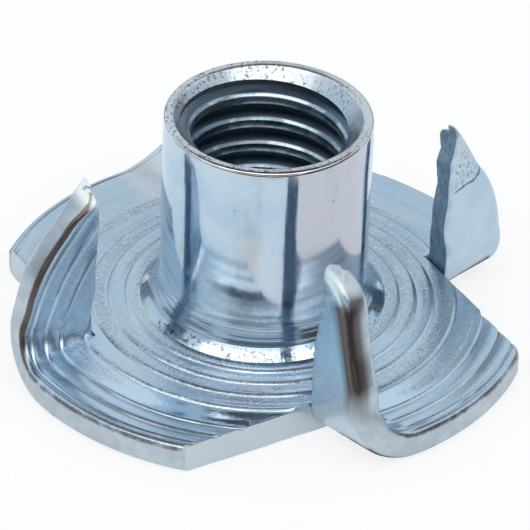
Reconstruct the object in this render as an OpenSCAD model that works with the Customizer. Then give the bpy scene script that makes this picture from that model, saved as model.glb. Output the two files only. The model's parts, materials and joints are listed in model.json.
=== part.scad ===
// Four-prong tee nut, drawn and stamped from one sheet of steel.
// A threaded barrel rises from a round flange. Four straight slits run in from the flange's
// edge, and the sheet on one side of each slit is curled up into a prong.
// The underside lies on Z = 0 and the bore runs along Z. All sizes are in millimetres.

/* [Barrel] */
// Outside diameter of the barrel
barrel_d = 9.2; // [8.8:0.1:10]
// Height from the underside to the rim
total_h = 11; // [9:0.5:16]
// Rounding of the rim's outer edge
rim_round = 0.2; // [0.05:0.05:0.4]
// Height above the underside where the barrel starts to flare
flare_top = 3.4; // [2.8:0.1:4]
// Diameter at which the flare meets the flange's face
flare_d = 10.9; // [10.5:0.1:12]

/* [Bore] */
// Diameter of the bore, across the thread's crests
bore_d = 6.8; // [5:0.1:7]
// Diameter of the countersunk mouth at the rim
mouth_d = 8.3; // [7.4:0.1:8.4]
// Included angle of the mouth, in degrees
mouth_angle = 86; // [60:2:110]
// Rounding of the bore's lower edge
entry_round = 0.9; // [0.3:0.1:1.2]

/* [Flange] */
// Outside diameter of the flange
flange_d = 23.8; // [22:0.1:26]
// Thickness of the sheet
sheet_t = 1.4; // [1:0.1:1.6]
// How far the flange's face climbs from the slits to the flare
hub_rise = 0.3; // [0:0.05:0.4]

/* [Coined rings] */
// Diameter of the innermost ring
ring_first_d = 12.4; // [12:0.1:14]
// Distance from one ring to the next
ring_pitch = 0.75; // [0.6:0.05:1.2]
// Width of a ring's groove
ring_w = 0.3; // [0.1:0.05:0.4]
// Depth of a ring's groove
ring_depth = 0.1; // [0.05:0.01:0.2]

/* [Prongs] */
// Distance from the bore's axis to the line of each slit
slit_offset = 8.1; // [7.6:0.1:9]
// How far short of its closest point to the axis each bend starts, at the flange's edge
bend_lead = 1; // [0.5:0.1:1.4]
// Radius on the inside of the bend, at the flange's edge
bend_r = 1.9; // [1:0.1:2.2]
// Radius on the inside of the bend, at the slit
fold_r = 0.15; // [0.1:0.05:0.5]
// How far each face of the sheet draws in where it bends
bend_draw = 0.02; // [0.01:0.01:0.05]
// Height of a prong's tip above the underside
prong_h = 9; // [8:0.1:10]
// Width of the prong's blunt tip
tip_w = 0.3; // [0.2:0.1:0.8]
// How far the tip's end slopes down across the sheet
tip_bevel = 0.6; // [0.1:0.1:1]
// Depth of the web that still joins the prong to the flange behind the slit
root_web = 0.2; // [0.1:0.05:0.3]
// How far the flange's edge draws in where the sheet is bent
edge_draw = 0.05; // [0.03:0.01:0.1]

/* [Uneven prongs] */
// Radius on the inside of the rear prong's bend, which is curled less tightly
rear_bend_r = 2.8; // [1:0.1:3]
// Height of the rear prong's tip above the underside
rear_prong_h = 8.1; // [7.8:0.1:10]
// How much narrower the flange is around the right-hand prong, which is cut off centre
side_trim = 0.4; // [0.1:0.1:0.8]

/* [Hidden] */
$fn = 96;

// Points along the curved edge of a prong
edge_steps = 32;
// Margin by which a cutting shape stands clear of what it cuts
clear = 1;
// Angle by which a bend runs on into the flange and into its prong
bend_lap = 3;

barrel_r = barrel_d / 2;
bore_r = bore_d / 2;
mouth_r = mouth_d / 2;
flange_r = flange_d / 2;
mouth_depth = (mouth_r - bore_r) / tan(mouth_angle / 2);

// The flare is an arc that leaves the barrel's wall tangentially at flare_top
// and ends on the flange's face at flare_d.
hub_z = sheet_t + hub_rise;
flare_reach = flare_d / 2 - barrel_r;
flare_drop = flare_top - hub_z;
flare_r = (flare_reach * flare_reach + flare_drop * flare_drop) / (2 * flare_reach);

// Height of the flange's face at radius r: it falls from the flare to the slits, then stays level.
function face_z(r) =
    sheet_t + hub_rise * max(0, min(1, (slit_offset - r) / (slit_offset - flare_d / 2)));

// Radii of the coined rings, from the outermost in
ring_first_r = ring_first_d / 2;
ring_count = floor((flange_r - ring_w - ring_first_r) / ring_pitch) + 1;
ring_radii = [for (i = [ring_count - 1 : -1 : 0]) ring_first_r + i * ring_pitch];

// Places along a slit are measured from its closest point to the axis, out towards the
// flange's edge. edge_reach is how far an edge of radius r stands out beyond the slit there,
// and tip_place is where it comes down to the width of the tip.
function edge_reach(p, r) = sqrt(r * r - p * p) - slit_offset;
function tip_place(r) = sqrt(r * r - pow(slit_offset + tip_w, 2));
max_reach = flange_r - slit_offset;

// The sheet bends round a cone: the inside radius grows by bend_slope for each step out from
// the slit, from fold_r there to in_r at the flange's edge. bend_place is where the bend starts,
// face_place is where the prong's inside face stands, and bend_top is the height at which the
// bend is complete.
function bend_slope(in_r) = (in_r - fold_r) / max_reach;
function bend_radius(reach, in_r) = fold_r + bend_slope(in_r) * reach;
function face_place(in_r) = in_r - bend_lead;
function bend_place(reach, in_r) = face_place(in_r) - bend_radius(reach, in_r);
function bend_top(reach, in_r) = sheet_t + bend_radius(reach, in_r);

prong_count = 4;
prong_turn = 360 / prong_count;
// Which prong is which, counted counter-clockwise from the one towards -Y
side_prong = 1;
rear_prong = 2;
function prong_edge_r(i) = flange_r - edge_draw - (i == side_prong ? side_trim : 0);
function prong_bend_r(i) = i == rear_prong ? rear_bend_r : bend_r;
function prong_tip_h(i) = i == rear_prong ? rear_prong_h : prong_h;

// Corner that a rounding of radius r takes away; the corner's sides run along -X and -Y.
module round_off(r) {
    difference() {
        translate([-r, -r]) square(r + clear);
        translate([-r, -r]) circle(r);
    }
}

// Half section of the flange, with its coined rings
module flange_section() {
    ring_points = [
        for (r = ring_radii)
            for (side = [1, 0, -1])
                [r + side * ring_w / 2, face_z(r) - (side == 0 ? ring_depth : 0)]
    ];
    polygon(concat(
        [[bore_r, 0], [flange_r, 0], [flange_r, sheet_t]],
        ring_points,
        [[flare_d / 2, hub_z], [bore_r, hub_z]]
    ));
}

// Half section of the barrel and its flare, standing on the flange
module barrel_section() {
    difference() {
        translate([bore_r, 0]) square([barrel_r - bore_r, total_h]);
        translate([barrel_r, total_h]) round_off(rim_round);
    }
    difference() {
        translate([bore_r, 0]) square([flare_d / 2 - bore_r, flare_top]);
        translate([barrel_r + flare_r, flare_top]) circle(flare_r);
    }
}

// The flange and barrel before the prongs are sheared out
module blank() {
    rotate_extrude() difference() {
        union() {
            flange_section();
            barrel_section();
        }
        // Countersunk mouth
        polygon([
            [bore_r - clear, total_h + clear],
            [bore_r - clear, total_h - mouth_depth],
            [bore_r, total_h - mouth_depth],
            [mouth_r, total_h],
            [mouth_r, total_h + clear]
        ]);
        // Rounded entry at the underside
        translate([bore_r, 0]) rotate(180) round_off(entry_round);
    }
}

// The sheet that one prong was curled up from, beyond its slit and its bend
module prong_window(in_r) {
    translate([0, -slit_offset, -clear]) linear_extrude(sheet_t + 2 * clear) polygon([
        [-bend_place(0, in_r), 0],
        [-flange_d, 0],
        [-flange_d, -flange_d],
        [-bend_place(flange_d, in_r), -flange_d]
    ]);
}

// Strip along the flange's edge that is missing next to the narrower prong
module edge_trim() {
    translate([0, 0, -clear]) rotate_extrude(angle = 50, start = -90)
        translate([flange_r - side_trim, 0]) square([side_trim + clear, sheet_t + 2 * clear]);
}

// One prong's outline, seen square to its faces: outward is +X and up is +Y.
// The middle of the sheet keeps its length through the bend and is drawn out above it
// until the tip stands at tip_h.
module prong_outline(edge_r, in_r, tip_h) {
    first = bend_place(max_reach, in_r);
    function height(place, reach) =
        let (
            mid_r = bend_radius(reach, in_r) + sheet_t / 2,
            run = max(0, place - bend_place(reach, in_r)),
            bend_len = mid_r * PI / 2,
            top = bend_top(reach, in_r),
            straight = tip_place(edge_r) - bend_place(reach, in_r) - bend_len
        )
        run < bend_len ? top - mid_r * cos(run / mid_r * 180 / PI)
                       : top + (run - bend_len) * (tip_h - top) / straight;
    polygon(concat(
        [[-root_web, 0], [edge_reach(first, edge_r), 0]],
        [
            for (i = [0 : edge_steps])
                let (place = first + (tip_place(edge_r) - first) * i / edge_steps)
                [edge_reach(place, edge_r), height(place, edge_reach(place, edge_r))]
        ],
        [[0, tip_h], [0, sheet_t + root_web], [-root_web, sheet_t]]
    ));
}

// The bent sheet: a sector of a hollow cone. Its axis leans by bend_slope up and by bend_slope
// away from the prong's inside face, so that the cone touches that face and the flange's.
// The sector runs on a little at both ends, into the flange and into the prong.
module prong_bend(in_r) {
    slope = bend_slope(in_r);
    axis_len = sqrt(1 + 2 * slope * slope);
    side_len = sqrt(1 + slope * slope);
    cone_angle = asin(slope / axis_len);
    sector = acos(-slope * slope / (1 + slope * slope));
    tip_back = fold_r / slope;
    height = (max_reach + clear + tip_back) * axis_len;
    function ray(offset, h) = [h * tan(cone_angle) + offset / cos(cone_angle), h];
    translate([-face_place(in_r), tip_back, sheet_t])
        multmatrix([
            [-side_len / axis_len, 0, slope / axis_len, 0],
            [-slope / side_len / axis_len, -slope / side_len, -1 / axis_len, 0],
            [slope * slope / side_len / axis_len, -1 / side_len, slope / axis_len, 0],
            [0, 0, 0, 1]
        ])
        rotate_extrude(angle = sector + 2 * bend_lap, start = -bend_lap) polygon([
            [0, -bend_draw / sin(cone_angle)],
            [0, -sheet_t / 2],
            ray(sheet_t - bend_draw, -sheet_t / 2),
            ray(sheet_t - bend_draw, height),
            ray(bend_draw, height)
        ]);
}

// The flat of one prong above its bend: the tip slopes down towards the inside of the bend
module prong_flat(in_r, tip_h) {
    face = face_place(in_r);
    intersection() {
        rotate([90, 0, 0]) linear_extrude(max_reach) polygon([
            [-face - sheet_t, 0],
            [-face, 0],
            [-face, tip_h - tip_bevel],
            [-face - sheet_t, tip_h]
        ]);
        translate([clear - face, 0, 0]) rotate([90, 0, -90])
            linear_extrude(sheet_t + 2 * clear) polygon([
                [-clear, bend_top(-clear, in_r)],
                [max_reach + clear, bend_top(max_reach + clear, in_r)],
                [max_reach + clear, tip_h + clear],
                [-clear, tip_h + clear]
            ]);
    }
}

// One prong, standing on the line of its slit: its bend and its flat, trimmed to the outline
module prong(edge_r, in_r, tip_h) {
    translate([0, -slit_offset, 0]) intersection() {
        union() {
            prong_bend(in_r);
            prong_flat(in_r, tip_h);
        }
        translate([bend_lead + clear, 0, 0]) rotate([90, 0, -90])
            linear_extrude(in_r + sheet_t + 2 * clear) prong_outline(edge_r, in_r, tip_h);
    }
}

module tee_nut() {
    color("lightsteelblue") {
        difference() {
            blank();
            for (i = [0 : prong_count - 1]) rotate(i * prong_turn) prong_window(prong_bend_r(i));
            rotate(side_prong * prong_turn) edge_trim();
        }
        for (i = [0 : prong_count - 1])
            rotate(i * prong_turn) prong(prong_edge_r(i), prong_bend_r(i), prong_tip_h(i));
    }
}

tee_nut();
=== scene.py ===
import bpy
import json
import math
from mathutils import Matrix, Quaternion, Vector, noise

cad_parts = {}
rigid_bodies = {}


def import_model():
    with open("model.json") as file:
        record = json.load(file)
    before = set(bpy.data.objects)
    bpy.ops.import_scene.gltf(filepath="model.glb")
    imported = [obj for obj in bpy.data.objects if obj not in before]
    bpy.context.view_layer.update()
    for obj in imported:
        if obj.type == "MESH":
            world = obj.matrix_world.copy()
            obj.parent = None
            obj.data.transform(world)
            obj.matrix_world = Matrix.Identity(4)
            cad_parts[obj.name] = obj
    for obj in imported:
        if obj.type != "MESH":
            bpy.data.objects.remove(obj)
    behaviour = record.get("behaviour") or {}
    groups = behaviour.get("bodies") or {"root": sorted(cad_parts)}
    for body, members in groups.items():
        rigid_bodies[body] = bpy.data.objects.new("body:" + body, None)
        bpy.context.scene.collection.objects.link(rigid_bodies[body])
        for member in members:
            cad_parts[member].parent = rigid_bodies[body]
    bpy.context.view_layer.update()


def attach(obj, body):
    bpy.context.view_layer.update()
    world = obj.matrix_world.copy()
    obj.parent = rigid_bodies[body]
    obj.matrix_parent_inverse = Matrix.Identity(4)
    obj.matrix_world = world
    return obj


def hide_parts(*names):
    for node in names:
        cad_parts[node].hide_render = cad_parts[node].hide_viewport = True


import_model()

mm = 0.001

# The nut's sizes, in mm
nut = {
    "barrelR": 4.6,
    "height": 11.0,
    "flangeR": 11.9,
    "sheet": 1.4,
    "hubRise": 0.3,
    "flareR": 5.45,
    "flareTop": 3.3,
    "flareBend": 2.1,      # where the flare's hollow turns into its sloping foot
    "flareArc": 1.95,
    "boreR": 3.3,          # a little tight, the thread opens it to its crests
    "mouthR": 4.12,
    "entryR": 4.3,
    "steps": 288,          # segments round the part
    "rollUnder": 0.42,     # rounding left by the blanking on the flange's lower edge
    "rollTop": 0.3,
    "bandRing": 8.6,       # radius of the ring inside the smooth band
    "band": [(9.7, 1.375), (9.3, 1.4), (8.95, 1.425)],     # radius and height across the band
    # radius of each coined ring's little step, the height inside it and the height just outside it
    "rings": [(11.4, 1.4, 1.33), (10.67, 1.4, 1.32), (9.86, 1.39, 1.31), (8.6, 1.51, 1.4),
              (7.62, 1.585, 1.465), (6.83, 1.655, 1.54), (6.07, 1.725, 1.615)],
    "stepRun": 1.08,       # width of a step for its height
    "ringWander": 0.035,   # how far the rings stray in and out
    "ringLift": 0.016,     # and up and down
    "backWay": (0.52, 0.86),
    "wornOut": (8.72, 11.56),      # at the back, most of the rings between these radii is worn down
    "wornLevel": 1.43,             # to this height
    "ringWear": 0.85,
}

# The prongs, counted from the one towards -Y, anticlockwise, in mm
slit = {
    "offset": 8.1,         # from the axis to the slit's line
    "kerf": 0.03,
    "tipWidth": 0.3,
    "tightBend": 0.15,     # inside radius of the bend at the slit
    "fullReach": 3.8,      # how far out the bend has its full radius
    "tipBevel": 0.57,
    "prongs": [
        {"tip": 9.05, "bend": 1.9, "face": 0.9, "edgeR": 11.9},
        {"tip": 9.0, "bend": 1.9, "face": 0.9, "edgeR": 11.5},
        {"tip": 8.1, "bend": 2.8, "face": 1.8, "edgeR": 11.9},
        {"tip": 9.08, "bend": 1.9, "face": 0.9, "edgeR": 11.9},
    ],
    # each prong as it stands: height, then how far out its slit edge and its rim edge are,
    # first on the face with the rings and then on the underside
    "outlines": [
        [(3.2, 0, 3.45, 0, 3.45), (4.0, 0.04, 3.26, 0.04, 3.5), (4.7, 0.06, 3.0, 0.06, 3.26),
         (5.5, 0.25, 2.68, 0.23, 2.98), (6.4, 0.42, 2.42, 0.43, 2.74), (7.4, 0.5, 2.22, 0.54, 2.52),
         (8.1, 0.5, 1.98, 0.55, 2.3), (8.5, 0.45, 1.62, 0.5, 2.05), (8.8, 0.4, 1.2, 0.45, 1.7),
         (9.05, 0.4, 0.9, 0.42, 1.3)],
        [(3.2, 0.06, 3.0, -0.24, 3.0), (4.2, 0.06, 2.75, -0.17, 2.85), (5.0, 0.14, 2.5, -0.13, 2.64),
         (5.6, 0.24, 2.26, -0.1, 2.38), (6.1, 0.16, 2.0, -0.08, 2.12), (6.7, 0.09, 1.6, -0.07, 1.68),
         (7.3, 0.28, 1.3, -0.04, 1.35), (8.0, 0.2, 0.95, 0.1, 1.0), (8.7, 0.22, 0.62, 0.22, 0.64),
         (9.0, 0.25, 0.45, 0.25, 0.45)],
        [(3.2, 0, 3.3, 0, 3.3), (5, 0, 2.6, 0, 2.6), (6.5, 0, 1.6, 0, 1.6), (8.1, 0.1, 0.5, 0.1, 0.5)],
        [(3.2, -0.12, 3.3, -0.1, 3.36), (4.1, -0.16, 3.12, -0.12, 3.16), (5.0, -0.2, 2.8, -0.16, 2.92),
         (5.5, -0.23, 2.58, -0.2, 2.62), (6.3, -0.28, 2.12, -0.25, 2.06), (7.0, -0.31, 1.56, -0.3, 1.5),
         (7.4, -0.3, 1.27, -0.29, 1.14), (7.8, -0.28, 0.88, -0.27, 0.86), (8.2, -0.22, 0.52, -0.24, 0.58),
         (8.6, -0.18, 0.2, -0.18, 0.28), (9.0, -0.14, 0.02, -0.14, 0.0)],
    ],
    "tipRounding": 0.3,
    "tipRoundReach": 0.5,
    "wallWave": 0.05,      # how uneven the sheared walls are
    "trimmed": 1,          # the prong whose rim is cut closer in, and beside which the flange has a nick
    "trimFrom": 34,        # where that cut starts, in degrees clockwise from +X, and how far round it goes
    "trimSweep": 112,
    "trimFadeFrom": -71,   # where it begins to run out, in degrees anticlockwise, and over how many
    "trimFadeOver": 25,
    "trimMiddle": -95,     # the middle of the rim that it leaves, and how far that goes to each side
    "trimHalf": 45,
    "nick": 0.13,          # depth of the nick, and where it starts along the slit
    "nickFrom": 5.35,
    "brownAlong": (2.2, 7.6),      # a painted brown reflection on the first prong's rim edge, up to brownUp
    "brownUp": 0.95,
    "lineAlong": (0, 8.2),         # and a painted brown reflection line on the last prong's
    "lineUp": (1.15, 1.385),
    "wearAndHighlight": [(0, 0.6), (3, 1)],  # which prongs' ends get a painted highlight, and how much
    "tipHighlightFrom": 7.7,
    "bendCut": 0.15,       # distance between the cuts across a bend, and how many there are
    "bendCuts": 32,
    "tipCuts": [0.02, 0.06, 0.12, 0.2, 0.3, 0.4, 0.5],     # more cuts, this far back from the tip
}

thread = {
    "pitch": 1.25,
    "crestR": 3.4,
    "rootR": 3.9,
    "crestZ": 9.62,        # height of a crest at the back of the bore
    "backAngle": 58.6,     # where the back is, in degrees anticlockwise from +X
    "turns": 13,
    "turnsBelow": 9,       # of them below that crest
    "steps": 96,
    "groove": [(0, 0), (0.012, 0.02), (0.075, 0.2), (0.1, 0.28), (0.22, 0.9), (0.24, 0.98), (0.27, 1)],
    "grooveMiddle": 0.36,
}


def onlySelect(obj):
    if bpy.context.object and bpy.context.object.mode != "OBJECT":
        bpy.ops.object.mode_set(mode="OBJECT")
    bpy.ops.object.select_all(action="DESELECT")
    obj.select_set(True)
    bpy.context.view_layer.objects.active = obj


def editMode(obj, selectMode="VERT"):
    onlySelect(obj)
    bpy.ops.object.mode_set(mode="EDIT")
    bpy.ops.mesh.select_mode(type=selectMode)
    bpy.ops.mesh.select_all(action="DESELECT")


def objectMode():
    bpy.ops.object.mode_set(mode="OBJECT")


def normalsOut(obj):
    editMode(obj)
    bpy.ops.mesh.select_all(action="SELECT")
    bpy.ops.mesh.normals_make_consistent(inside=False)
    objectMode()


def turn(obj, quarters):
    # turns the whole mesh about the nut's axis, anticlockwise
    editMode(obj)
    bpy.ops.mesh.select_all(action="SELECT")
    bpy.ops.transform.rotate(value=-quarters * math.pi / 2, orient_axis="Z", center_override=(0, 0, 0))
    objectMode()


def drawLine(name, points):
    # draws a line of points (x, z), in mm, by extruding one vertex from each to the next
    bpy.ops.object.select_all(action="DESELECT")
    bpy.ops.mesh.primitive_plane_add(size=mm)
    obj = bpy.context.object
    obj.name = name
    editMode(obj)
    bpy.ops.mesh.select_all(action="SELECT")
    bpy.ops.mesh.merge(type="CENTER")
    bpy.ops.transform.translate(value=(points[0][0] * mm, 0, points[0][1] * mm))
    for a, b in zip(points, points[1:]):
        step = ((b[0] - a[0]) * mm, 0, (b[1] - a[1]) * mm)
        bpy.ops.mesh.extrude_region_move(TRANSFORM_OT_translate={"value": step})
    return obj


def arc(cx, cz, r, start, end, count):
    return [(cx + r * math.cos(math.radians(start + (end - start) * i / count)),
             cz + r * math.sin(math.radians(start + (end - start) * i / count)))
            for i in range(count + 1)]


def undersideAndRim():
    entry = nut["entryR"] - nut["boreR"]
    pts = arc(nut["entryR"], entry, entry, 180, 270, 8)
    pts += [(5 + 0.4 * i, 0) for i in range(16)]
    r, t, under, top = nut["flangeR"], nut["sheet"], nut["rollUnder"], nut["rollTop"]
    pts += arc(r - under, under, under, 280, 360, 6)
    pts += [(r, 0.7), (r + 0.005, 0.95), (r + 0.003, 1.12)]
    pts += arc(r - top, t - top, top, 8, 90, 6)
    return pts


def coinedFace():
    # the face goes down in rings towards the rim: each has a steep little step, then a nearly level tread
    rim = nut["flangeR"] - nut["rollTop"]
    pts = []
    outerR, outerZ = rim, nut["sheet"]
    for r, above, below in nut["rings"]:
        half = nut["stepRun"] * (above - below) / 2
        level = min(outerR - 0.02, r + 0.42)
        if r > nut["bandRing"]:
            pts += [(level, outerZ), (r + 0.24, below + (outerZ - below) * 0.6)]
        if r == nut["bandRing"]:
            pts += nut["band"]
        pts += [(r + half + 0.05, below + 0.005), (r + half, below), (r - half, above - 0.008),
                (r - half - 0.06, above)]
        outerR, outerZ = r - half - 0.06, above
    return pts


def flareAndBarrel():
    b, flareTop = nut["barrelR"], nut["flareTop"]
    foot = nut["sheet"] + nut["hubRise"]
    pts = [(nut["flareR"], foot), (nut["flareR"] - 0.14, foot + 0.135), (nut["flareR"] - 0.29, foot + 0.27)]
    low = math.degrees(math.asin((flareTop - nut["flareBend"]) / nut["flareArc"]))
    for i in range(31):
        a = math.radians(180 + low * (1 - i / 30))
        r = nut["flareArc"] + (0.012 if i % 5 == 2 and i < 24 else 0)     # fine lines left by the drawing
        pts.append((b + nut["flareArc"] + r * math.cos(a), flareTop + r * math.sin(a)))
    h, m = nut["height"], nut["mouthR"]
    pts += [(b, 4.2), (b + 0.004, 6.5), (b, 9.0)]
    pts += arc(b - 0.17, h - 0.17, 0.17, 0, 80, 5)
    pts += [(b - 0.3, h), (m + 0.08, h - 0.005), (m + 0.02, h - 0.03)]
    pts += [(m - 0.02 - d, h - 0.07 - d * 1.02) for d in (0, 0.2, 0.4, 0.6)]
    pts += [(nut["boreR"], h - 0.93), (nut["boreR"], 6.0), (nut["boreR"], 2.5)]
    return pts


def turnedBody():
    body = drawLine("teeNut", undersideAndRim() + coinedFace() + flareAndBarrel())
    bpy.ops.mesh.select_all(action="SELECT")
    bpy.ops.mesh.spin(steps=nut["steps"], angle=math.tau, center=(0, 0, 0), axis=(0, 0, 1))
    bpy.ops.mesh.select_all(action="SELECT")
    bpy.ops.mesh.remove_doubles(threshold=0.002 * mm)
    # the two open edges left inside the bore are joined by one last strip
    bpy.ops.mesh.select_mode(type="EDGE")
    bpy.ops.mesh.select_all(action="DESELECT")
    bpy.ops.mesh.select_non_manifold()
    bpy.ops.mesh.bridge_edge_loops()
    normalsOut(body)
    return body


def cut(body, tool):
    onlySelect(body)
    mod = body.modifiers.new("cut", "BOOLEAN")
    mod.operation, mod.object, mod.solver = "DIFFERENCE", tool, "MANIFOLD"
    bpy.ops.object.modifier_apply(modifier=mod.name)
    bpy.data.objects.remove(tool)


def joined(parts):
    onlySelect(parts[0])
    for part in parts[1:]:
        part.select_set(True)
    bpy.ops.object.join()
    return bpy.context.object


def slitBlade(start):
    # a thin blade whose top and bottom spread a little, so the sheared edges aren't razor sharp
    k, z = slit["kerf"], nut["sheet"]
    side = [(0.12, -0.1), (0.03, -0.004), (0.008, 0.02), (0, 0.06)]
    side += [(0, 0.2 + 0.17 * i) for i in range(7)]
    side += [(0, z - 0.09), (0.01, z - 0.03), (0.04, z + 0.004), (0.08, z + 0.06), (0.16, z + 0.25)]
    blade = drawLine("blade", side + [(-k - x, up) for x, up in reversed(side)])
    bpy.ops.mesh.select_all(action="SELECT")
    bpy.ops.mesh.edge_face_add()
    # the section is turned to face along the slit, and drawn out in short lengths
    bpy.ops.transform.rotate(value=-math.pi / 2, orient_axis="Z", center_override=(0, 0, 0))
    bpy.ops.transform.translate(value=(-start * mm, -slit["offset"] * mm, 0))
    for i in range(44):
        bpy.ops.mesh.extrude_region_move(TRANSFORM_OT_translate={"value": (-0.2 * mm, 0, 0)})
    objectMode()
    return blade


def tipPlace(prong):
    return math.sqrt(prong["edgeR"] ** 2 - (slit["offset"] + slit["tipWidth"]) ** 2)


def tipCrop(prong):
    # the block that takes away what would be a needle past the tip
    bpy.ops.object.select_all(action="DESELECT")
    at = (-tipPlace(prong) - 1, -slit["offset"] - slit["kerf"] / 2 - 1, 0.7)
    bpy.ops.mesh.primitive_cube_add(size=2 * mm, location=[c * mm for c in at])
    bpy.ops.object.transform_apply(location=True, rotation=True, scale=True)
    return bpy.context.object


def sideTrim(prong):
    # the flange stands off centre beside this prong, so its edge is cut closer in
    r, t, under, top = prong["edgeR"], nut["sheet"], nut["rollUnder"], nut["rollTop"]
    line = [(14, -1), (r - under + 0.06, -1), (r - under + 0.08, -0.02)]
    line += arc(r - under, under, under, 290, 360, 5) + [(r, 0.7), (r, 1.1)]
    line += arc(r - top, t - top, top, 0, 70, 4) + [(r - top + 0.02, t + 0.02), (r - top + 0.01, 3), (14, 3)]
    trim = drawLine("trim", line)
    bpy.ops.mesh.select_all(action="SELECT")
    bpy.ops.mesh.edge_face_add()
    back, sweep = math.radians(slit["trimFrom"]), math.radians(slit["trimSweep"])
    bpy.ops.transform.rotate(value=back, orient_axis="Z", center_override=(0, 0, 0))
    bpy.ops.mesh.spin(steps=slit["trimSweep"], angle=sweep, center=(0, 0, 0), axis=(0, 0, 1))
    bpy.ops.mesh.select_all(action="SELECT")
    bpy.ops.mesh.remove_doubles(threshold=0.001 * mm)
    bpy.ops.mesh.bisect(plane_co=(0, -(slit["offset"] + slit["kerf"] / 2) * mm, 0), plane_no=(0, 1, 0),
                        threshold=0.0001 * mm, clear_outer=True, use_fill=True)
    objectMode()
    # it runs out gently, away from the prong
    for v in trim.data.vertices:
        away = (math.degrees(math.atan2(v.co.y, v.co.x)) - slit["trimFadeFrom"]) / slit["trimFadeOver"]
        if away > 0 and v.co.to_2d().length < 13 * mm:
            v.co.xy *= 1 + away * away * (nut["flangeR"] - r + 0.05) / r
    normalsOut(trim)
    return trim


def threadTap():
    # one pitch of the groove's outline, screwed up through the bore
    t, pitch = thread, thread["pitch"]
    depth = t["rootR"] - t["crestR"]
    shape = t["groove"] + [(2 * t["grooveMiddle"] - a, b) for a, b in reversed(t["groove"])] + [(1, 0)]
    crestMiddle = (1 + 2 * t["grooveMiddle"]) / 2
    low = t["crestZ"] - pitch * (crestMiddle + t["backAngle"] / 360 + t["turnsBelow"])
    tap = drawLine("tap", [(t["crestR"] + depth * b, low + pitch * a) for a, b in shape])
    objectMode()
    mod = tap.modifiers.new("screw", "SCREW")
    mod.screw_offset, mod.angle, mod.iterations = pitch * mm, math.tau, t["turns"]
    mod.steps = mod.render_steps = t["steps"]
    bpy.ops.object.modifier_apply(modifier=mod.name)
    editMode(tap)
    bpy.ops.mesh.select_all(action="SELECT")
    bpy.ops.mesh.remove_doubles(threshold=0.001 * mm)
    objectMode()
    # each open end runs in to a point on the axis, clear of the nut
    middle = (low + pitch * t["turns"] / 2) * mm
    for below in (True, False):
        editMode(tap, "EDGE")
        bpy.ops.mesh.select_non_manifold()
        objectMode()
        rim = {i for e in tap.data.edges if e.select for i in e.vertices
               if (tap.data.vertices[i].co.z < middle) == below}
        for edge in tap.data.edges:
            edge.select = edge.select and all(i in rim for i in edge.vertices)
        for v in tap.data.vertices:
            v.select = v.index in rim
        bpy.ops.object.mode_set(mode="EDIT")
        bpy.ops.mesh.extrude_region_move(TRANSFORM_OT_translate={"value": (0, 0, 0)})
        bpy.ops.mesh.merge(type="CENTER")
        objectMode()
    normalsOut(tap)
    return tap


def selectFaces(obj, wanted):
    # selects the faces whose middle passes the test, and stays in edit mode
    editMode(obj, "FACE")
    objectMode()
    for face in obj.data.polygons:
        face.select = wanted(face.center)
    bpy.ops.object.mode_set(mode="EDIT")


def inProngFrame(co, quarters):
    # how far along the slit, how far out past it, and how high, in mm
    a = -quarters * math.pi / 2
    x = co.x * math.cos(a) - co.y * math.sin(a)
    y = co.x * math.sin(a) + co.y * math.cos(a)
    return -x / mm, -y / mm - slit["offset"], co.z / mm


def fromProngFrame(along, out, up, quarters):
    a = quarters * math.pi / 2
    x, y = -along * mm, -(out + slit["offset"]) * mm
    return Vector((x * math.cos(a) - y * math.sin(a), x * math.sin(a) + y * math.cos(a), up * mm))


def bendStart(out, prong):
    tight = slit["tightBend"]
    return prong["face"] - tight - (prong["bend"] - tight) * max(0, out) / slit["fullReach"]


def between(table, z):
    # the row of a table at a height, worked out from the rows below and above it
    for low, high in zip(table, table[1:]):
        if z <= high[0]:
            break
    part = max(0, min(1, (z - low[0]) / (high[0] - low[0])))
    return [a + (b - a) * part for a, b in zip(low, high)]


def outlined(along, out, z, face, prong):
    # how far out a point stands: face is 1 on the side with the rings and 0 on the underside
    flatWidth = math.sqrt(max(0.01, prong["edgeR"] ** 2 - along ** 2)) - slit["offset"]
    place = out / max(flatWidth, 0.2)
    ringSlit, ringRim, underSlit, underRim = between(prong["outline"], z)[1:]
    at = (ringSlit + (ringRim - ringSlit) * place) * face
    at += (underSlit + (underRim - underSlit) * place) * (1 - face)
    settle = max(0, min(1, (z - 2.6) / 1.2))
    settle = settle * settle * (3 - 2 * settle)
    return out + (at - out) * settle


def bent(along, out, up, prong):
    # where a point of the flat sheet goes when its prong is curled up
    start = bendStart(out, prong)
    inner, sheet = prong["face"] - start, nut["sheet"]
    middle, r = inner + sheet / 2, inner + sheet - up
    run = (along - start) / middle
    if run < math.pi / 2:
        z = inner + sheet - r * math.cos(run)
        return start + r * math.sin(run), outlined(along, out, z, up / sheet, prong), z
    end = start + middle * math.pi / 2
    tip = tipPlace(prong)
    # the sheet is drawn out above the bend, and its end slopes down towards the inside
    height = (along - end) / (tip - end)
    bevel = slit["tipBevel"] * (up / sheet) * max(0, (height - 0.8) / 0.2)
    z = inner + sheet + height * (prong["tip"] - inner - sheet)
    # the end is rounded over, across its thickness and along its top
    near = max(0, min(1, 1 - (tip - along) / slit["tipRoundReach"]))
    pinch = slit["tipRounding"] * (1 - math.sqrt(1 - near * near))
    r += pinch * (1 if up > sheet / 2 else -1)
    return start + r, outlined(along, out, z, up / sheet, prong), z - bevel


def cutAt(places, body, quarters, wanted):
    # cuts through the wanted faces, square to the slit at places along it; all else is hidden meanwhile
    selectFaces(body, wanted)
    bpy.ops.mesh.hide(unselected=True)
    a = quarters * math.pi / 2
    for along in places:
        bpy.ops.mesh.select_all(action="SELECT")
        bpy.ops.mesh.bisect(plane_co=fromProngFrame(along, 0, 0, quarters),
                            plane_no=(math.cos(a), math.sin(a), 0))
    bpy.ops.mesh.reveal(select=False)
    objectMode()


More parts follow.
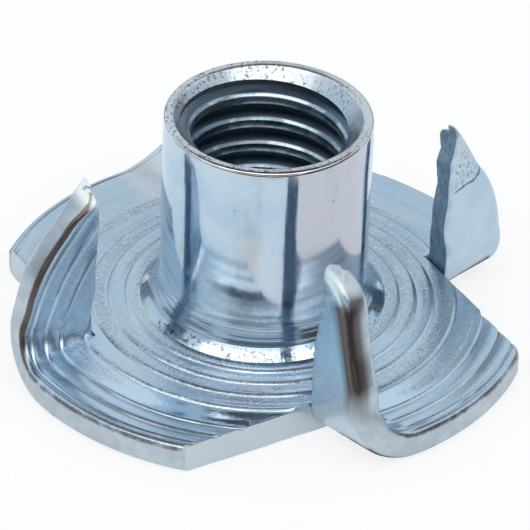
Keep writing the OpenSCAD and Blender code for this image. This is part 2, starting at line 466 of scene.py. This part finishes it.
def cutAcrossBend(body, quarters, prong):
    # close cuts across the bend let it turn smoothly
    first = bendStart(slit["fullReach"], prong)

    def inBend(co):
        along, out, up = inProngFrame(co, quarters)
        return out > -0.01 and bendStart(out, prong) - 0.3 < along < 4.2

    cutAt([first + slit["bendCut"] * i for i in range(slit["bendCuts"])], body, quarters, inBend)
    # and a few close to the tip let that be rounded
    tip = tipPlace(prong)

    def atTip(co):
        along, out, up = inProngFrame(co, quarters)
        return out > -0.01 and along > tip - 0.7

    cutAt([tip - back for back in slit["tipCuts"]], body, quarters, atTip)


def squareFacesOnly(body):
    editMode(body, "FACE")
    bpy.ops.mesh.select_face_by_sides(number=4, type="GREATER")
    bpy.ops.mesh.quads_convert_to_tris()
    objectMode()


def shearedEdge(co):
    # 1 on a sheared edge of the flat sheet, fading within 0.05 mm of it
    r = co.to_2d().length / mm
    if r <= 8:
        return 0
    near = 1.0
    for quarters, prong in enumerate(slit["prongs"]):
        along, out, up = inProngFrame(co, quarters)
        if along > bendStart(0, prong) - 0.02:
            near = min(near, abs(out + slit["kerf"] / 2) - slit["kerf"] / 2)
        if quarters == slit["trimmed"] and (out > 0 or along < 0) and -8 < along:
            around = math.degrees(math.atan2(-out - slit["offset"], -along))
            if abs(around - slit["trimMiddle"]) < slit["trimHalf"]:
                near = min(near, abs(r - prong["edgeR"]))
    near = min(near, abs(r - nut["flangeR"]))
    return max(0, 1 - near / 0.05)


def ringShadeDepth(co):
    # painted shade goes only in the outer rings' steps
    r = co.to_2d().length / mm
    if r < nut["flareR"] or co.z < 1.28 * mm:
        return 0
    near = min(abs(r - ring[0] - 0.04) for ring in nut["rings"] if ring[0] >= nut["bandRing"])
    return max(0, 1 - near / 0.06)


def paintedBrownReflection(co):
    # a painted brown reflection on the lower part of one prong's rim edge, and on the top of the rim edge of
    # the one beside it
    r = co.to_2d().length / mm
    if r < nut["flangeR"] - 0.35:
        return 0
    along, out, up = inProngFrame(co, 0)
    low, high = slit["brownAlong"]
    if out > 0.1 and low < along < high:
        fade = min(1, (along - low) / 1.8, (high - along) / 0.3)
        return fade * min(1, max(0, (slit["brownUp"] - up) / 0.3))
    along, out, up = inProngFrame(co, 3)
    low, high = slit["lineAlong"]
    if out > 0.1 and low < along < high and slit["lineUp"][0] < up < slit["lineUp"][1]:
        return min(1, (along - low) / 1.5, (high - along) / 0.3)
    return 0


def paintedTipHighlight(co):
    # painted highlights on the prongs' ends
    for quarters, wearAndHighlight in slit["wearAndHighlight"]:
        along, out, up = inProngFrame(co, quarters)
        if out > slit["kerf"] / 2:
            return wearAndHighlight * max(0, min(1, (along - slit["tipHighlightFrom"]) / 0.3))
    return 0


def curled(co):
    # 1 on the prongs, from just past the start of their bends
    for quarters, prong in enumerate(slit["prongs"]):
        along, out, up = inProngFrame(co, quarters)
        if out > slit["kerf"] / 2 and along > bendStart(out, prong):
            return min(1, (along - bendStart(out, prong)) / 2)
    return 0


def tornWall(co):
    # the prongs' own side of each slit was torn more than cut
    for quarters, prong in enumerate(slit["prongs"]):
        along, out, up = inProngFrame(co, quarters)
        if slit["kerf"] / 2 < out < 0.08 and along > bendStart(0, prong) + 0.4:
            return max(0, 1 - (out - slit["kerf"]) / 0.05)
    return 0


def paleEdge(co):
    # 1 on the first prong and at its root: its outside is a clearer blue, and its rim has no brown line
    along, out, up = inProngFrame(co, 0)
    return 1 if out > 0.1 and along > 0.5 else 0


def markSurface(body):
    # what the plating's pattern follows: the flat sheet's own coordinates, in mm, and where each mark is
    marks = {"sheared": shearedEdge, "groove": ringShadeDepth, "torn": tornWall, "brownReflection": paintedBrownReflection,
             "tip": paintedTipHighlight, "paleEdge": paleEdge, "prong": curled}
    mesh = body.data
    mesh.attributes.new("flat", "FLOAT_VECTOR", "POINT")
    for name in marks:
        mesh.attributes.new(name, "FLOAT", "POINT")
    for i, v in enumerate(mesh.vertices):
        mesh.attributes["flat"].data[i].vector = v.co / mm
    for name, howMuch in marks.items():
        values = mesh.attributes[name].data
        for i, v in enumerate(mesh.vertices):
            values[i].value = howMuch(v.co)


def wearRings(body):
    # the rings wander a little, and are deeper in some places than in others
    for v in body.data.vertices:
        r, z = v.co.to_2d().length / mm, v.co.z / mm
        if r > nut["flareR"] + 0.1 and z > 1.27:
            place = Vector((v.co.x, v.co.y, 0)) * (2.2 / mm / r)
            wander = nut["ringWander"] * noise.noise(place + Vector((0, 0, r * 0.7)))
            lift = nut["ringLift"] * noise.noise(place * 1.6 + Vector((0, 0, r * 2.1)))
            fade = min(1, (nut["flangeR"] - r) * 2)
            v.co.xy *= 1 + wander * fade / r
            v.co.z += lift * fade * mm
            if nut["wornOut"][0] < r < nut["wornOut"][1]:
                # the outer rings are nearly gone at the back
                back = (nut["backWay"][0] * v.co.x + nut["backWay"][1] * v.co.y) / mm / r
                gone = max(0, min(1, (back - 0.15) / 0.4))
                level = nut["wornLevel"] - 0.02 * (r - 8.7)
                v.co.z += nut["ringWear"] * gone * gone * (3 - 2 * gone) * (level - z) * mm


def wallWave(along, up, side, quarters):
    # sheared walls aren't quite straight
    wave = noise.noise(Vector((along * 1.1, quarters * 5 + side, up * 0.5)))
    wave += 0.5 * noise.noise(Vector((along * 3.1, quarters * 7 + side, up * 1.4)))
    return slit["wallWave"] * side * wave


def curlProng(body, quarters, prong):
    for v in body.data.vertices:
        along, out, up = inProngFrame(v.co, quarters)
        wave = 0
        if abs(out) < 0.2:
            grow = max(0, min(1, (along - bendStart(0, prong) - 0.1) * 2))
            wave = grow * wallWave(along, up, 1 if out > slit["kerf"] / 2 else 0.5, quarters)
            if quarters == slit["trimmed"] and out < slit["kerf"] / 2:
                # beside this prong the flange's edge steps in a little
                step = max(0, min(1, (along - slit["nickFrom"]) / 0.25))
                wave -= slit["nick"] * step * (1 - abs(out) / 0.2)
        if out > slit["kerf"] / 2 and along > bendStart(out, prong):
            along, out, up = bent(along, out, up, prong)
            v.co = fromProngFrame(along, out + wave, up, quarters)
        elif wave:
            v.co = fromProngFrame(along, out + wave, up, quarters)


body = turnedBody()
print("turned body:", len(body.data.polygons), "faces")

prongs = slit["prongs"]
blades = [slitBlade(prong["face"] - slit["tightBend"]) for prong in prongs]
crops = [tipCrop(prong) for prong in prongs]
for quarters in range(4):
    turn(blades[quarters], quarters)
    turn(crops[quarters], quarters)
cut(body, joined(blades))
cut(body, joined(crops))
trim = sideTrim(prongs[slit["trimmed"]])
turn(trim, slit["trimmed"])
cut(body, trim)
print("slits cut:", len(body.data.polygons), "faces")

tap = threadTap()
cut(body, tap)
print("thread cut:", len(body.data.polygons), "faces")

for quarters, prong in enumerate(prongs):
    prong["outline"] = slit["outlines"][quarters]
    cutAcrossBend(body, quarters, prong)
squareFacesOnly(body)
markSurface(body)
wearRings(body)
for quarters, prong in enumerate(prongs):
    curlProng(body, quarters, prong)
print("prongs curled:", len(body.data.polygons), "faces")

onlySelect(body)
bpy.ops.object.shade_smooth_by_angle(angle=math.radians(38))


zinc = {
    "colour": (0.57, 0.67, 0.76),
    "blueTint": (0.46, 0.60, 0.74),
    "warmTint": (0.66, 0.66, 0.68),
    "pinkTint": (0.55, 0.525, 0.575),       # the chromate's bloom on one side of the barrel
    "pinkFacing": (0.17, -0.985, 0),
    "flareReflectionTint": (0.26, 0.40, 0.56),
    "coinedSheenColour": (0.68, 0.81, 0.93),
    # painted highlights, on the radial dashes, the lip and the far prong's bend
    "paleHighlightColour": (0.93, 0.95, 0.97),
    "edgeColour": (0.60, 0.66, 0.70),
    # painted highlight on the prongs' ends
    "tipHighlightColour": (0.96, 0.97, 0.95),
    "prongTint": (0.40, 0.54, 0.69),
    "cyanTint": (0.64, 0.87, 0.96),         # on the outside of one prong
    "tornColour": (0.22, 0.33, 0.43),
    "brownReflectionColour": (0.10, 0.06, 0.045),
    # painted shade in the ring steps and a crease; also dark specks, pits and the duller rim
    "darkSpecksAndShade": (0.10, 0.12, 0.15),
    "threadShadeColour": (0.12, 0.18, 0.24),     # painted shade between the thread's crests
    # stains on the barrel, and the painted brown reflection line round the rim
    "stainAndDarkReflection": (0.20, 0.13, 0.08),
    "lipWear": (0.50, 0.42, 0.38),
    "roughness": 0.09,
    "flangeRoughness": 0.19,                # added on the flange
    "bandRoughness": -0.18,                 # and on its smooth band
    "grainSize": 5.0,                       # per mm
    "grainBump": 0.25,
    # where each finish sets in or ends, in mm on the flat sheet: out from the axis or up from the underside
    "flangeOut": (5.2, 5.8),
    "topUp": (1.2, 1.3),
    "boreOut": (3.95, 4.15),
    "threadOut": (3.5, 3.56),
    "coneUp": (6.69, 6.72),                 # height of the mouth's slope, carried on down to the axis
    "flareOut": (4.61, 4.7),
    "flareEndOut": (5.05, 5.15),
    "footUp": (1.6, 1.7),
    "bandOut": (8.7, 8.9),
    "bandEndOut": (9.65, 9.8),
    "bandUp": (1.3, 1.36),
    "dashEndOut": (9.5, 9.9),
    "bloomUp": (2.5, 5.5),
    "crestUp": (0.9, 1.2),
    "mouthUp": (10.0, 10.1),
    "mouthEndOut": (4.4, 4.5),
    "countersinkUp": (10.2, 10.35),
    "countersinkEndOut": (4.5, 4.56),
    "footOut": (4.98, 5.05),
    "footEndOut": (5.5, 5.6),
    "footSpecksUp": (1.6, 1.68),
    "lipUp": (10.84, 10.92),
    "lipOut": (4.05, 4.12),
    "rimOut": (11.7, 11.76),
    "rimLineUp": (1.12, 1.18),
    "rimLineEndUp": (1.3, 1.34),
}


def newMaterial(name):
    mat = bpy.data.materials.new(name)
    mat.use_nodes = True
    return mat, mat.node_tree.nodes, mat.node_tree.links


class Nodes:
    # short ways to wire a material
    def __init__(self, mat):
        self.nodes, self.links = mat.node_tree.nodes, mat.node_tree.links

    def feed(self, socket, value):
        if isinstance(value, bpy.types.NodeSocket):
            self.links.new(value, socket)
        elif value is not None:
            socket.default_value = value

    def attribute(self, name, output="Fac"):
        node = self.nodes.new("ShaderNodeAttribute")
        node.attribute_name = name
        return node.outputs[output]

    def math(self, how, a, b=None):
        node = self.nodes.new("ShaderNodeMath")
        node.operation = how
        self.feed(node.inputs[0], a)
        self.feed(node.inputs[1], b)
        return node.outputs[0]

    def times(self, *values):
        result = values[0]
        for value in values[1:]:
            result = self.math("MULTIPLY", result, value)
        return result

    def plus(self, *values):
        result = values[0]
        for value in values[1:]:
            result = self.math("ADD", result, value)
        return result

    def opposite(self, value):
        return self.math("SUBTRACT", 1.0, value)

    def minus(self, value):
        return self.math("MULTIPLY", value, -1.0)

    def vectorMath(self, how, a, b=None):
        node = self.nodes.new("ShaderNodeVectorMath")
        node.operation = how
        self.feed(node.inputs[0], a)
        self.feed(node.inputs[1], b)
        return node.outputs

    def apart(self, vector):
        node = self.nodes.new("ShaderNodeSeparateXYZ")
        self.feed(node.inputs[0], vector)
        return node.outputs

    def point(self, x, y, z=0):
        node = self.nodes.new("ShaderNodeCombineXYZ")
        for socket, value in zip(node.inputs, (x, y, z)):
            self.feed(socket, value)
        return node.outputs[0]

    def ramp(self, value, low, high):
        # 0 below low, 1 above high
        node = self.nodes.new("ShaderNodeMapRange")
        node.interpolation_type = "SMOOTHSTEP"
        self.feed(node.inputs["Value"], value)
        node.inputs["From Min"].default_value = low
        node.inputs["From Max"].default_value = high
        return node.outputs["Result"]

    def noise(self, place, scale, detail, rough, distortion=0):
        node = self.nodes.new("ShaderNodeTexNoise")
        self.feed(node.inputs["Vector"], place)
        node.inputs["Scale"].default_value = scale
        node.inputs["Detail"].default_value = detail
        node.inputs["Roughness"].default_value = rough
        node.inputs["Distortion"].default_value = distortion
        return node.outputs["Fac"]

    def mix(self, factor, a, b):
        node = self.nodes.new("ShaderNodeMix")
        node.data_type = "RGBA"
        self.feed(node.inputs["Factor"], factor)
        self.feed(node.inputs[6], (*a, 1) if isinstance(a, tuple) else a)
        self.feed(node.inputs[7], (*b, 1) if isinstance(b, tuple) else b)
        return node.outputs[2]

    def bump(self, height, distance, strength, under=None):
        node = self.nodes.new("ShaderNodeBump")
        node.inputs["Strength"].default_value = strength
        node.inputs["Distance"].default_value = distance
        self.feed(node.inputs["Height"], height)
        self.feed(node.inputs["Normal"], under)
        return node.outputs["Normal"]


class Plate(Nodes):
    # the places on the flat sheet that the plating follows, and the zones that share a finish
    def __init__(self, mat):
        super().__init__(mat)
        self.flat = self.attribute("flat", "Vector")
        self.x, self.y, self.up = self.apart(self.flat)
        ground = self.point(self.x, self.y)
        self.out = self.vectorMath("LENGTH", ground)["Value"]
        self.direction = self.vectorMath("NORMALIZE", ground)[0]
        self.wayX, self.wayY = self.apart(self.direction)[:2]
        # 1 at the back of the part, -1 at its front
        backX, backY = nut["backWay"]
        self.back = self.plus(self.times(self.wayX, backX), self.times(self.wayY, backY))
        self.sheared, self.prong = self.attribute("sheared"), self.attribute("prong")
        self.groove, self.torn = self.attribute("groove"), self.attribute("torn")
        self.tip, self.paleEdge = self.attribute("tip"), self.attribute("paleEdge")

        self.onFlange = self.outFrom("flangeOut")
        self.onTop = self.times(self.onFlange, self.upFrom("topUp"), self.opposite(self.sheared))
        self.inBore = self.opposite(self.outFrom("boreOut"))
        self.onCone = self.ramp(self.plus(self.up, self.times(self.out, -1.02)), *zinc["coneUp"])
        self.onFlare = self.times(self.outFrom("flareOut"), self.opposite(self.outFrom("flareEndOut")),
                                  self.upFrom("footUp"))
        band = self.times(self.outFrom("bandOut"), self.opposite(self.outFrom("bandEndOut")),
                          self.upFrom("bandUp"))
        self.shinyBand = self.times(band, self.opposite(self.ramp(self.back, -0.85, -0.6)))
        self.nearHub = self.times(self.onTop, self.opposite(self.outFrom("dashEndOut")),
                                  self.opposite(self.shinyBand), self.opposite(self.prong))
        self.dashes = self.ramp(self.noise(self.polar(80, 4.0, 0), 1, 2, 0.6), 0.5, 0.64)
        # the top of the far prong's bend is rougher and painted pale, a painted highlight
        self.farBend = self.times(self.onTop, self.ramp(self.y, 8.4, 9.2), self.ramp(self.x, -1.5, -0.3),
                                  self.opposite(self.ramp(self.x, 1.6, 3.2)))

    def outFrom(self, name):
        return self.ramp(self.out, *zinc[name])

    def upFrom(self, name):
        return self.ramp(self.up, *zinc[name])

    def polar(self, around, out, up):
        # a place that is stretched round the axis, out from it and up it by separate amounts
        rise = self.plus(self.times(self.out, out), self.times(self.up, up))
        return self.point(self.times(self.wayX, around), self.times(self.wayY, around), rise)


def cloudyPlating(p):
    # blue and warm clouds, the bloom on the barrel, and a flare painted darker as a painted reflection of
    # dark surroundings
    cloud = p.noise(p.flat, 0.22, 4, 0.6, 0.6)
    colour = p.mix(p.ramp(cloud, 0.42, 0.62), zinc["colour"], zinc["blueTint"])
    warm = p.ramp(p.noise(p.flat, 0.5, 4, 0.6, 0.4), 0.54, 0.72)
    colour = p.mix(p.times(warm, 0.6), colour, zinc["warmTint"])
    facing = p.vectorMath("DOT_PRODUCT", p.direction, zinc["pinkFacing"])["Value"]
    bloom = p.times(p.ramp(facing, 0.8, 0.97), p.upFrom("bloomUp"), p.opposite(p.onFlange))
    colour = p.mix(p.times(bloom, 0.8), colour, zinc["pinkTint"])
    # painted reflection: the flare is darkened as if it mirrored dark surroundings
    colour = p.mix(p.times(p.onFlare, 0.55), colour, zinc["flareReflectionTint"])
    # faint streaks of stain down the barrel
    streak = p.ramp(p.noise(p.polar(2.2, 0, 0.16), 1, 3, 0.5), 0.58, 0.74)
    return p.mix(p.times(streak, p.opposite(p.onFlange), 0.25), colour, zinc["stainAndDarkReflection"])


def coinedTop(p, colour):
    # the coined top is painted brighter as a sheen, most at the front and least at the back, with short
    # radial dashes painted brighter still as sparkling highlights
    # painted sheen: brighter towards the front, darker towards the back
    coinedSheen = p.plus(0.6, p.times(p.opposite(p.ramp(p.back, -0.8, -0.2)), 0.3))
    coinedSheen = p.math("SUBTRACT", coinedSheen, p.times(p.ramp(p.back, 0.1, 0.6), 0.35))
    colour = p.mix(p.times(p.onTop, coinedSheen), colour, zinc["coinedSheenColour"])
    colour = p.mix(p.times(p.onTop, p.prong, 0.7), colour, zinc["prongTint"])
    dashBands = p.ramp(p.noise(p.polar(0.5, 1.5, 0), 1, 2, 0.5), 0.38, 0.54)
    # painted highlights: the radial dashes are painted near white, as sparkles
    colour = p.mix(p.times(p.dashes, dashBands, p.nearHub, 0.9), colour, zinc["paleHighlightColour"])
    # one prong's outside is a clearer blue, away from its root
    underside = p.times(p.onFlange, p.paleEdge, p.ramp(p.minus(p.up), -0.3, -0.2))
    fromRoot = p.ramp(p.minus(p.x), 3.4, 5.0)
    colour = p.mix(p.times(underside, fromRoot, 0.85), colour, zinc["cyanTint"])
    # painted highlight on the top of the far prong's bend
    return p.mix(p.times(p.farBend, 0.6), colour, zinc["paleHighlightColour"])


def shearedAndTorn(p, colour):
    # paler sheared walls, a fine mottle all over, then torn walls, the painted brown reflection and the
    # painted highlights on the tips
    colour = p.mix(p.times(p.ramp(p.sheared, 0.3, 0.9), 0.75), colour, zinc["edgeColour"])
    fine = p.noise(p.flat, 1.6, 5, 0.65)
    colour = p.mix(p.times(p.ramp(fine, 0.35, 0.75), 0.25), colour, zinc["edgeColour"])
    tornPatch = p.plus(0.55, p.times(p.ramp(p.noise(p.flat, 2.2, 4, 0.7), 0.4, 0.6), 0.4))
    colour = p.mix(p.times(p.torn, tornPatch), colour, zinc["tornColour"])
    # painted reflection: dark brown on two prongs' rim edges
    colour = p.mix(p.times(p.attribute("brownReflection"), 0.92), colour, zinc["brownReflectionColour"])
    # painted highlights on the prongs' ends
    return p.mix(p.times(p.tip, 0.9), colour, zinc["tipHighlightColour"])


def creasedProng(p, colour):
    # a crease, painted as a dark line of shade, and the rough patch above it, on the underside of one prong
    past = p.math("SUBTRACT", p.x, slit["offset"])
    fromCrease = p.math("SUBTRACT", p.minus(p.y), p.plus(5.05, p.times(past, 0.5)))
    wander = p.math("SUBTRACT", p.noise(p.flat, 1.1, 4, 0.65), 0.5)
    fromCrease = p.plus(fromCrease, p.times(wander, 0.9))
    onProng = p.times(p.ramp(past, 0.25, 0.4), p.ramp(p.minus(p.up), -0.4, -0.3))
    # painted shade along the crease
    creaseShade = p.times(p.opposite(p.ramp(p.math("ABSOLUTE", fromCrease), 0.03, 0.09)), onProng)
    pits = p.ramp(p.noise(p.flat, 7.0, 3, 0.7), 0.5, 0.6)
    pocked = p.times(p.ramp(fromCrease, 0.05, 0.2), onProng, pits)
    marked = p.math("MAXIMUM", p.times(creaseShade, 0.8), p.times(pocked, 0.5))
    return p.mix(marked, colour, zinc["darkSpecksAndShade"])


def shadedRingsAndThread(p, colour):
    # painted shade in the outer rings' steps, in some places only and none at the back
    ringShade = p.ramp(p.noise(p.polar(2.4, 0.5, 0), 1, 3, 0.6), 0.42, 0.58)
    ringShade = p.times(ringShade, p.opposite(p.ramp(p.back, 0.15, 0.5)))
    # painted shade in the ring steps
    colour = p.mix(p.times(p.groove, ringShade, 0.85), colour, zinc["darkSpecksAndShade"])
    # painted shade deep in the thread, and in patches on its crests
    pastCrest = p.outFrom("threadOut")
    deep = p.times(pastCrest, p.opposite(p.onCone), p.inBore)
    onCrest = p.times(p.inBore, p.opposite(pastCrest), p.opposite(p.onCone), p.upFrom("crestUp"))
    patchy = p.ramp(p.noise(p.polar(2.0, 0, 1.3), 1, 4, 0.7), 0.42, 0.56)
    dark = p.math("MAXIMUM", p.times(deep, 0.95), p.times(onCrest, patchy, 0.8))
    return p.mix(dark, colour, zinc["threadShadeColour"])


def highlitWornLipAndBarrel(p, colour):
    # a lip painted pale as a highlight and rubbed brown in patches, and a few small marks on the barrel
    lip = p.times(p.upFrom("lipUp"), p.outFrom("lipOut"), p.opposite(p.onFlange))
    wearAndHighlight = p.ramp(p.noise(p.polar(1.3, 2, 0), 1, 5, 0.7), 0.42, 0.62)
    # painted highlight: the lip is painted pale
    colour = p.mix(p.times(lip, 0.8), colour, zinc["paleHighlightColour"])
    colour = p.mix(p.times(lip, wearAndHighlight, 0.8), colour, zinc["lipWear"])
    spots = p.ramp(p.noise(p.polar(5.5, 0, 1.6), 1, 3, 0.6), 0.7, 0.74)
    marks = p.times(spots, p.opposite(p.onFlange), p.opposite(p.inBore))
    return p.mix(p.times(marks, 0.45), colour, zinc["stainAndDarkReflection"])


def specks(p, colour):
    # dark specks on the countersink and, in patches, at the flare's foot
    onCountersink = p.times(p.upFrom("countersinkUp"), p.opposite(p.outFrom("countersinkEndOut")))
    colour = p.mix(p.times(onCountersink, 0.35), colour, zinc["warmTint"])
    somewhere = p.ramp(p.noise(p.polar(0.9, 1, 0), 1, 2, 0.5), 0.34, 0.54)
    atFoot = p.times(p.outFrom("footOut"), p.opposite(p.outFrom("footEndOut")), p.upFrom("footSpecksUp"))
    patches = p.ramp(p.noise(p.polar(2.1, 0.6, 0), 1, 3, 0.6), 0.4, 0.5)
    zone = p.math("MAXIMUM", p.times(onCountersink, somewhere), p.times(atFoot, patches))
    dots = p.ramp(p.noise(p.polar(24, 7, 0), 1, 4, 0.7), 0.53, 0.6)
    return p.mix(p.times(dots, zone, 0.85), colour, zinc["darkSpecksAndShade"])


def rimLineAndDullRim(p, colour):
    # a thin brown line round the flange, a painted reflection in patches, and a rim that is duller than the
    # sheared walls
    atRim = p.outFrom("rimOut")
    line = p.times(atRim, p.upFrom("rimLineUp"), p.opposite(p.upFrom("rimLineEndUp")))
    rimPatches = p.ramp(p.noise(p.flat, 1.3, 4, 0.75), 0.36, 0.58)
    # painted reflection: a brown line on the rim's top rounding
    colour = p.mix(p.times(line, rimPatches, p.opposite(p.paleEdge), 0.75), colour, zinc["stainAndDarkReflection"])
    dull = p.times(atRim, p.opposite(p.tip), p.plus(0.06, p.times(rimPatches, 0.16)))
    return p.mix(dull, colour, zinc["darkSpecksAndShade"])


def roughness(p, grain):
    # how rough each finish is, with the grain in it
    inMouth = p.times(p.upFrom("mouthUp"), p.opposite(p.outFrom("mouthEndOut")))
    return p.plus(
        zinc["roughness"],
        p.times(p.math("SUBTRACT", grain, 0.45), 0.16),
        p.times(p.onFlange, zinc["flangeRoughness"]),
        p.times(p.shinyBand, zinc["bandRoughness"]),
        p.plus(p.times(p.onFlare, 0.1), p.times(inMouth, 0.2)),
        p.times(p.sheared, 0.05),
        p.times(p.farBend, 0.25),
        p.times(p.tip, 0.25),
        p.times(p.torn, 0.2),
        p.times(p.inBore, p.opposite(p.onCone), 0.2))


def relief(p, grain):
    # overall grain, fine rings and bands of short radial marks on the flange, drawn lines on the barrel
    normal = p.bump(p.times(grain, p.plus(0.25, p.times(p.onFlange, 0.75))), 0.00002, zinc["grainBump"])
    rings = p.noise(p.polar(1.5, 9, 0), 1, 3, 0.6)
    normal = p.bump(p.times(rings, p.onTop, p.opposite(p.shinyBand)), 0.00006, 0.18, normal)
    radial = p.noise(p.polar(46, 2.4, 0), 1, 3, 0.65)
    bands = p.ramp(p.noise(p.polar(0.5, 1.5, 0), 1, 2, 0.5), 0.42, 0.56)
    normal = p.bump(p.times(radial, p.nearHub, p.plus(0.3, bands)), 0.00008, 0.25, normal)
    normal = p.bump(p.times(p.dashes, p.nearHub, p.plus(0.2, bands)), 0.00005, 0.2, normal)
    drawn = p.noise(p.polar(26, 0, 0.35), 1, 3, 0.6)
    normal = p.bump(p.times(drawn, p.opposite(p.onFlange)), 0.00003, 0.1, normal)
    tornGrain = p.noise(p.flat, 3.0, 5, 0.7)
    return p.bump(p.times(tornGrain, p.torn), 0.0001, 0.7, normal)


def zincMaterial():
    mat, nodes, links = newMaterial("zincPlate")
    shader = nodes["Principled BSDF"]
    p = Plate(mat)
    colour = cloudyPlating(p)
    for finish in (coinedTop, shearedAndTorn, creasedProng, shadedRingsAndThread, highlitWornLipAndBarrel, specks,
                   rimLineAndDullRim):
        colour = finish(p, colour)
    links.new(colour, shader.inputs["Base Color"])
    grain = p.noise(p.flat, zinc["grainSize"], 4, 0.65)
    links.new(roughness(p, grain), shader.inputs["Roughness"])
    # the tips and the far bend, painted pale as highlights, are also a little less metallic
    dulled = p.math("MAXIMUM", p.times(p.tip, 0.6), p.times(p.farBend, 0.35))
    links.new(p.opposite(dulled), shader.inputs["Metallic"])
    links.new(relief(p, grain), shader.inputs["Normal"])
    return mat


body.data.materials.clear()
body.data.materials.append(zincMaterial())

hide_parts("tee_nut")
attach(body, "root")
print("tee nut finished")


studio = {
    "floorColour": (0.86, 0.87, 0.88),
    "floorWhite": 0.8,         # how much of the floor that is seen is plain white
    "floorInMetal": 0.5,       # and how much of that the metal shows
    "worldColour": (0.71, 0.81, 0.87),
    "target": (0, 0, 4.6),     # mm
    "cameraAt": (-98.87, -161.84, 133.52),
    "roll": 2.135,
    "lens": 353.0,
    "shift": (0.0011, -0.05196),
    # azimuth, elevation, distance, size, power and colour
    "keyLight": (-35, 61, 0.9, (1.3, 0.46), 3.6, (1, 0.96, 0.92)),
    "cardDistance": 1.4,
    # name: azimuth and elevation of the middle, width and height in degrees, colour
    "cards": {
        "cameraCard": (-31, 36.5, 62, 37, (0.13, 0.15, 0.18)),
        "overheadCard": (-31, 95, 62, 72, (0.05, 0.06, 0.08)),
        "brownCard": (42, 14, 70, 28, (0.10, 0.075, 0.06)),
        "rightCard": (110, 9, 60, 16, (0.18, 0.17, 0.18)),
        "backCard": (170, 7, 70, 13, (0.22, 0.25, 0.30)),
        "leftCard": (-110, 8, 60, 15, (0.20, 0.24, 0.28)),
        "upperLeftCard": (-75, 41, 26, 24, (0.05, 0.05, 0.06)),
    },
    "underProngs": (0.10, 0.11, 0.12),      # the shade under the prongs' bends
    # the dark table in front: azimuth, nearest edge, length and width in metres, colour
    "table": (-20, 0.027, 0.5, 0.5, (0.055, 0.035, 0.028)),
}


def floor():
    bpy.ops.object.select_all(action="DESELECT")
    bpy.ops.mesh.primitive_circle_add(vertices=96, radius=3, fill_type="NGON", location=(0, 0, -0.00002))
    obj = bpy.context.object
    obj.name = "floor"
    mat, nodes, links = newMaterial("floorPaper")
    n = Nodes(mat)
    shader = nodes["Principled BSDF"]
    shader.inputs["Base Color"].default_value = (*studio["floorColour"], 1)
    shader.inputs["Roughness"].default_value = 1
    shader.inputs["Specular IOR Level"].default_value = 0
    glow = nodes.new("ShaderNodeEmission")
    rays = nodes.new("ShaderNodeLightPath")
    inMetal = n.math("MULTIPLY", rays.outputs["Is Glossy Ray"], studio["floorInMetal"])
    seen = n.math("MAXIMUM", rays.outputs["Is Camera Ray"], inMetal)
    seen = n.math("MAXIMUM", seen, rays.outputs["Is Transmission Ray"])
    mix = nodes.new("ShaderNodeMixShader")
    n.feed(mix.inputs["Fac"], n.math("MULTIPLY", seen, studio["floorWhite"]))
    links.new(shader.outputs[0], mix.inputs[1])
    links.new(glow.outputs[0], mix.inputs[2])
    links.new(mix.outputs[0], nodes["Material Output"].inputs["Surface"])
    obj.data.materials.append(mat)


def fromStudio(azimuth, elevation, distance):
    # azimuth runs anticlockwise from the front, seen from above
    a, e = math.radians(azimuth), math.radians(elevation)
    return Vector((math.sin(a) * math.cos(e), -math.cos(a) * math.cos(e), math.sin(e))) * distance


def softbox(name, azimuth, elevation, distance, size, power, colour):
    at = fromStudio(azimuth, elevation, distance)
    bpy.ops.object.light_add(type="AREA", location=at)
    lamp = bpy.context.object
    lamp.name = name
    lamp.rotation_euler = (-at).to_track_quat("-Z", "Y").to_euler()
    lamp.data.shape, lamp.data.size, lamp.data.size_y = "RECTANGLE", size[0], size[1]
    lamp.data.energy, lamp.data.color = power, colour


def card(name, azimuth, elevation, width, height, colour):
    # a flat card that only the metal sees
    distance = studio["cardDistance"]
    at = fromStudio(azimuth, elevation, distance)
    size = [2 * distance * math.tan(math.radians(angle / 2)) for angle in (width, height)]
    painted(name, at, (-at).to_track_quat("Z", "Y").to_euler(), size, colour)


def table(azimuth, near, length, width, colour):
    at = fromStudio(azimuth, 0, near + length / 2) + Vector((0, 0, 0.0003))
    painted("darkTable", at, (0, 0, math.radians(azimuth)), (width, length), colour)


def underProngs():
    # the shade on the floor right under each prong's bend, as the metal sees it
    for quarters in range(4):
        middle = fromProngFrame(-0.2, 2.2, 0.01, quarters)
        painted("underProng%d" % quarters, middle, (0, 0, quarters * math.pi / 2), (3.6 * mm, 2.8 * mm),
                studio["underProngs"])


def painted(name, at, facing, size, colour):
    bpy.ops.object.select_all(action="DESELECT")
    bpy.ops.mesh.primitive_plane_add(size=1, location=at, rotation=facing)
    obj = bpy.context.object
    obj.name = name
    obj.scale = (*size, 1)
    mat, nodes, links = newMaterial(name + "Paint")
    glow = nodes.new("ShaderNodeEmission")
    glow.inputs["Color"].default_value = (*colour, 1)
    links.new(glow.outputs[0], nodes["Material Output"].inputs["Surface"])
    nodes.remove(nodes["Principled BSDF"])
    obj.data.materials.append(mat)
    obj.visible_camera = obj.visible_diffuse = obj.visible_shadow = False


def camera():
    at = Vector(studio["cameraAt"]) * mm
    look = (Vector(studio["target"]) * mm - at).to_track_quat("-Z", "Y")
    bpy.ops.object.camera_add(location=at)
    cam = bpy.context.object
    cam.name = "camera"
    cam.rotation_euler = (look @ Quaternion((0, 0, 1), math.radians(studio["roll"]))).to_euler()
    cam.data.lens, cam.data.sensor_width = studio["lens"], 36
    cam.data.shift_x, cam.data.shift_y = studio["shift"]
    cam.data.clip_start, cam.data.clip_end = 0.01, 20
    bpy.context.scene.camera = cam


floor()
for name, values in studio["cards"].items():
    card(name, *values)
table(*studio["table"])
underProngs()
softbox("keyLight", *studio["keyLight"])
world = bpy.data.worlds.new("studio")
world.use_nodes = True
world.node_tree.nodes["Background"].inputs["Color"].default_value = (*studio["worldColour"], 1)
bpy.context.scene.world = world
camera()
bpy.context.scene.view_settings.view_transform = "Standard"
print("studio set")
